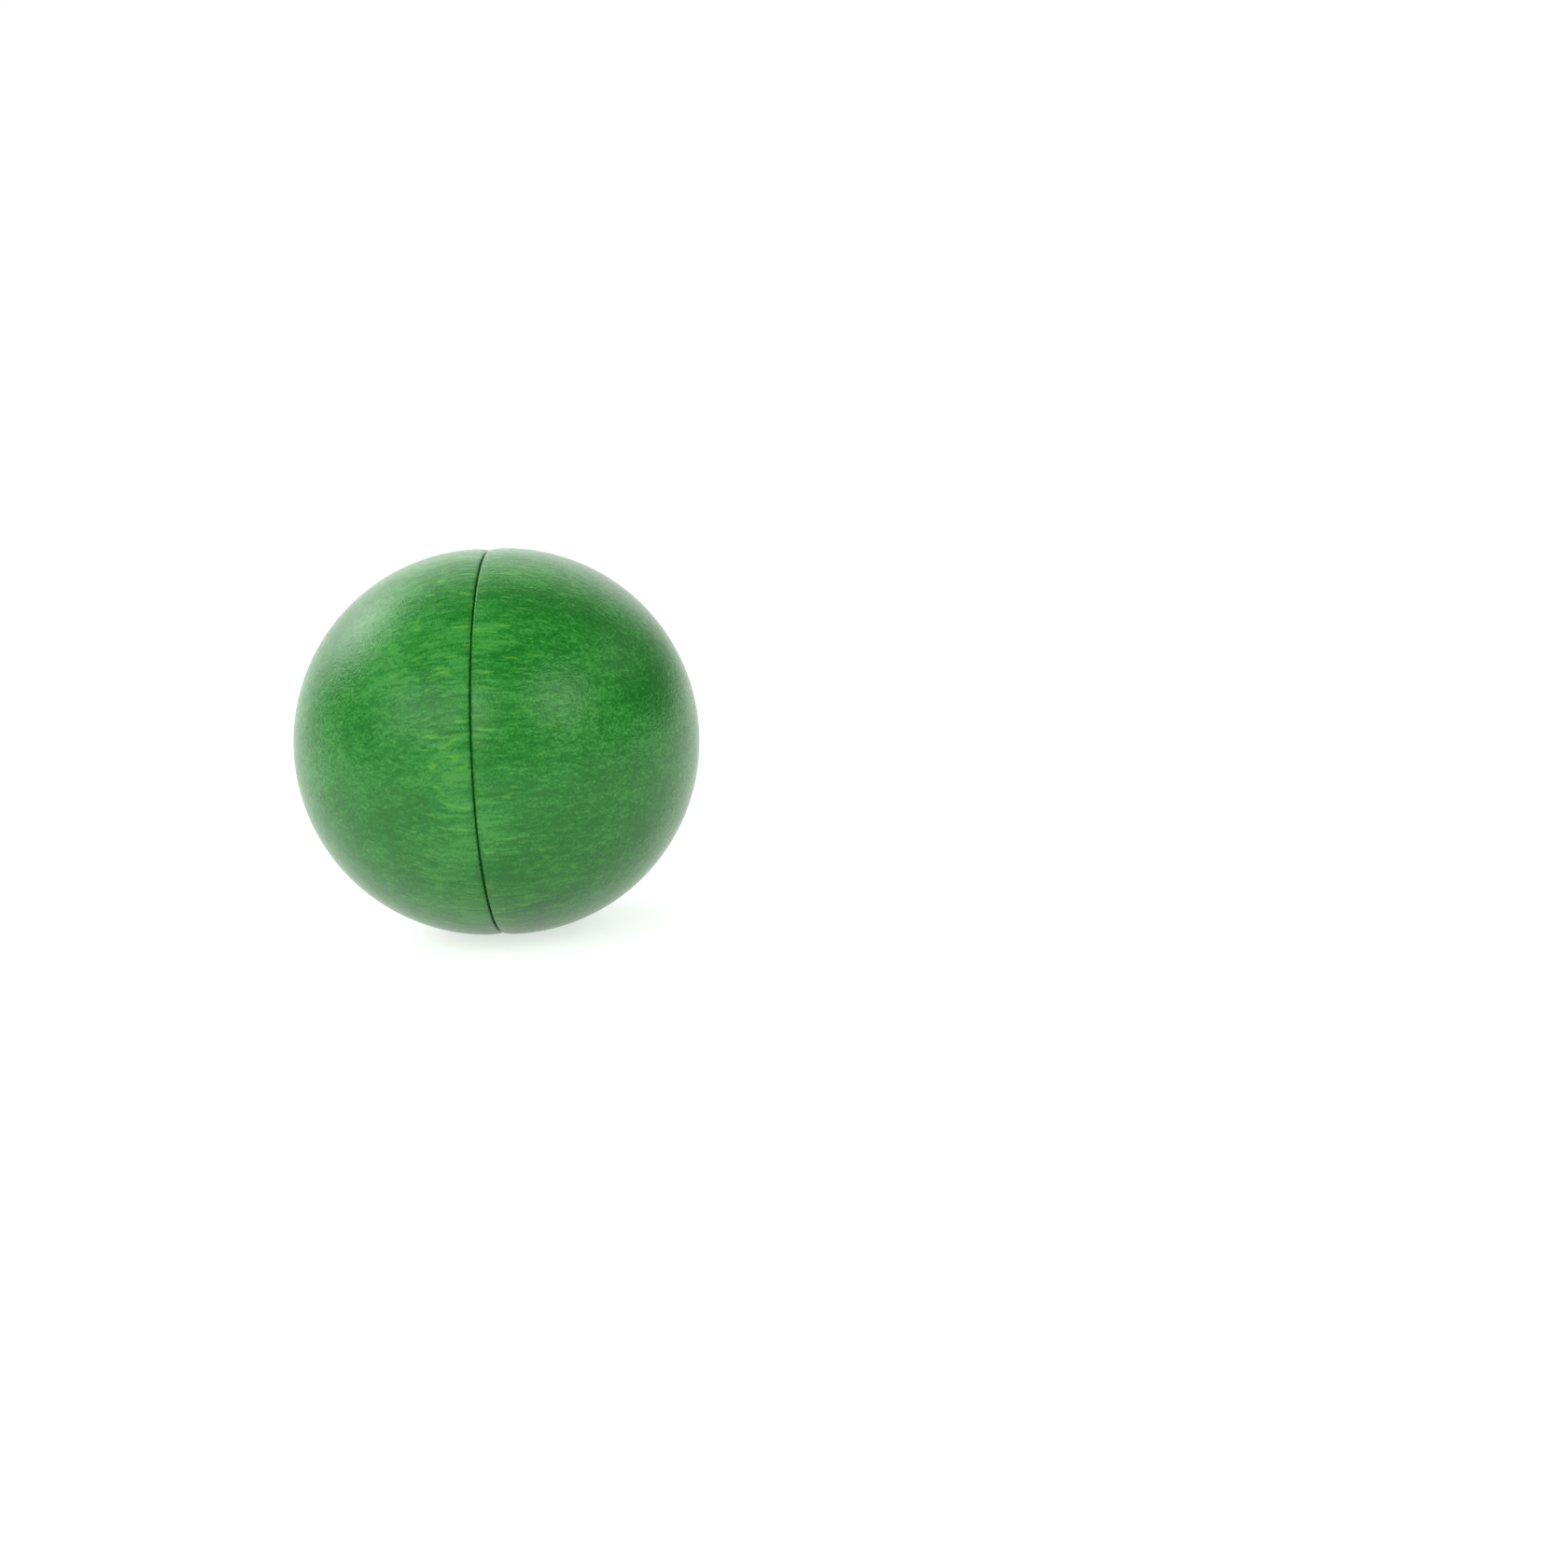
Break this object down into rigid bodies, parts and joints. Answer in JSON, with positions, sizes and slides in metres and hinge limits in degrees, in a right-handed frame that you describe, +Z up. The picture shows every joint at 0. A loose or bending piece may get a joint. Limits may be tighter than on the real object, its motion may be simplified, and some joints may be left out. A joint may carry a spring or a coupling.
{
  "type": "wooden ball",
  "caption": "Solid stained-wood ball, turned in halves and glued on a hidden spigot, with a fine eased joint line round its middle.",
  "frame": {"origin": "centre of the ball, on the joint plane between the halves", "axes": "+X along the turning axis from the spigot half towards the socket half, +Z up, and the joint plane is YZ"},
  "size_m": [0.063, 0.06, 0.06],
  "materials": {
    "stained_beech": "green water stain under satin varnish, grain showing through"
  },
  "bodies": {
    "root": {"spigot_half": "stained_beech", "socket_half": "stained_beech"}
  },
  "joints": []
}
